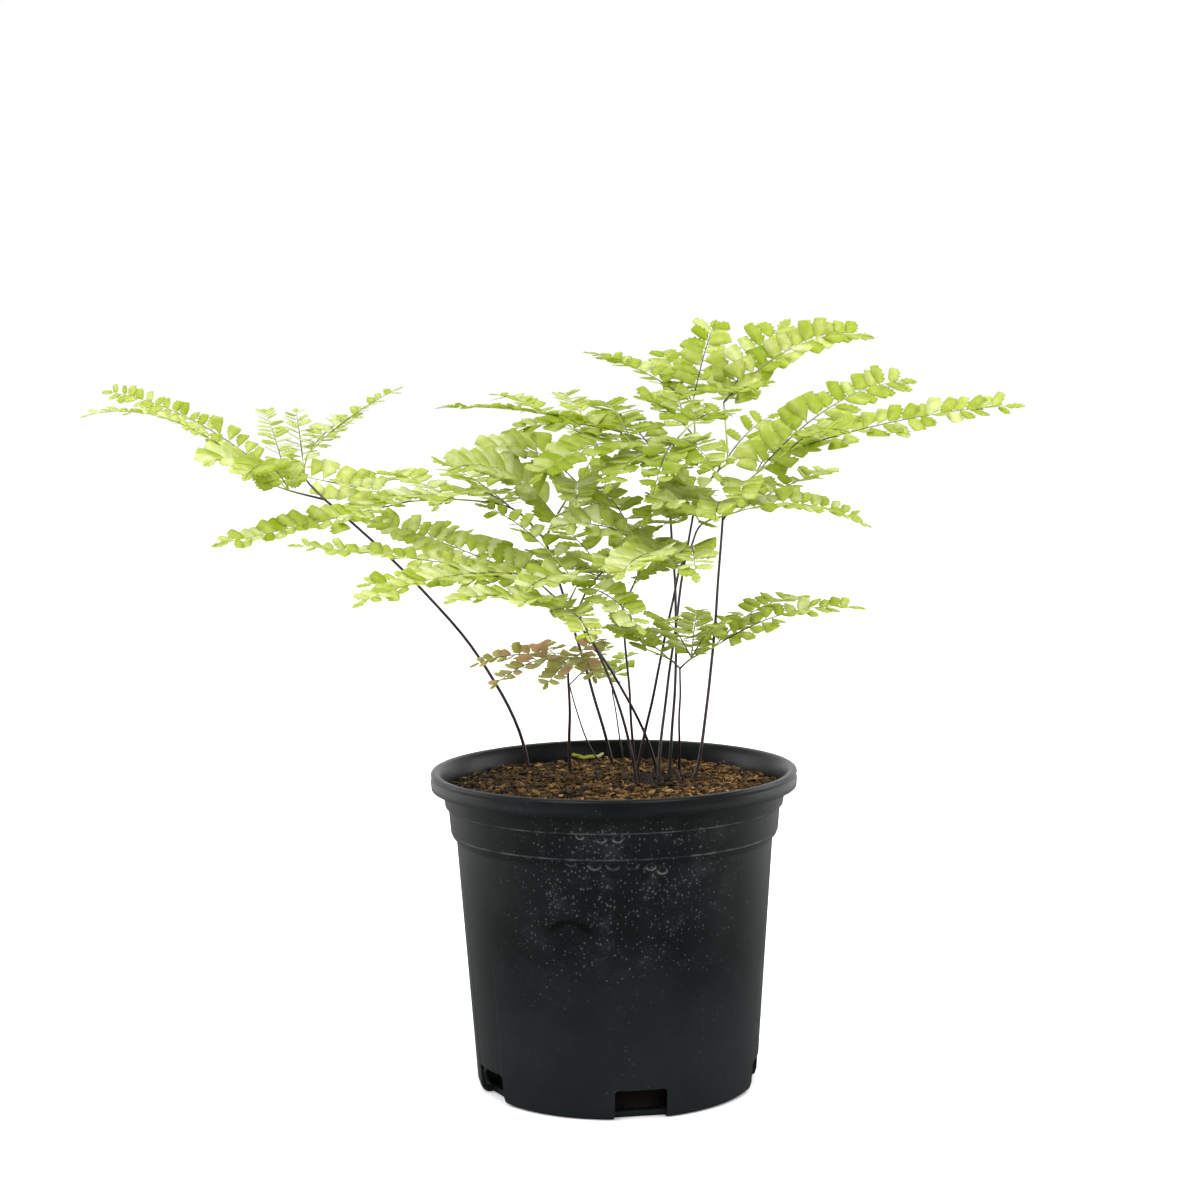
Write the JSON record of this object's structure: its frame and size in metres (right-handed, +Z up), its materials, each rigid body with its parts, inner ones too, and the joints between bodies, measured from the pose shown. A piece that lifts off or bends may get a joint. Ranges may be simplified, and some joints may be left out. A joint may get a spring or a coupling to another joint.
{
  "type": "potted fern",
  "caption": "Maidenhair fern with wiry dark stalks and fanned, nearly level green fronds, growing in a round black nursery pot with drain notches.",
  "frame": {"origin": "centre of the pot's underside, on the surface it stands on", "axes": "+Z up along the pot's axis, +X along the plant's widest spread to the right, -Y towards the side the fronds face"},
  "size_m": [0.4186, 0.2564, 0.3465],
  "materials": {
    "pot_plastic": "moulded, dull, with fine scuffs and lime specks",
    "potting_mix": "coarse coir and bark fibre",
    "rhizome_skin": "rough, dark",
    "stipe_skin": "smooth, glossy",
    "leaf_green": "soft satin, lets light through",
    "leaf_reddish": "soft satin, turning colour",
    "leaf_yellow": "dry, curled"
  },
  "bodies": {
    "root": {"centre_left_blade": "leaf_green", "centre_right_blade": "leaf_green", "centre_stipe": "stipe_skin", "fallen_leaf": "leaf_yellow", "far_left_back_blade": "leaf_green", "far_left_front_blade": "leaf_green", "far_left_stipe": "stipe_skin", "low_left_left_blade": "leaf_green", "low_left_right_blade": "leaf_green", "low_left_stipe": "stipe_skin", "low_middle_left_blade": "leaf_green", "low_middle_right_blade": "leaf_green", "low_middle_stipe": "stipe_skin", "low_right_left_blade": "leaf_green", "low_right_right_blade": "leaf_green", "low_right_stipe": "stipe_skin", "mid_left_left_blade": "leaf_green", "mid_left_right_blade": "leaf_green", "mid_left_stipe": "stipe_skin", "mid_right_left_blade": "leaf_green", "mid_right_right_blade": "leaf_green", "mid_right_stipe": "stipe_skin", "middle_left_blade": "leaf_green", "middle_right_blade": "leaf_green", "middle_stipe": "stipe_skin", "pot": "pot_plastic", "potting_mix": "potting_mix", "reddish_left_blade": "leaf_reddish", "reddish_right_blade": "leaf_reddish", "reddish_stipe": "stipe_skin", "rhizome": "rhizome_skin", "right_left_blade": "leaf_green", "right_right_blade": "leaf_green", "right_stipe": "stipe_skin", "small_back_stipe": "stipe_skin", "small_back_upper_blade": "leaf_green", "small_middle_stipe": "stipe_skin", "small_middle_upper_blade": "leaf_green", "top_left_blade": "leaf_green", "top_right_blade": "leaf_green", "top_stipe": "stipe_skin"}
  },
  "joints": []
}
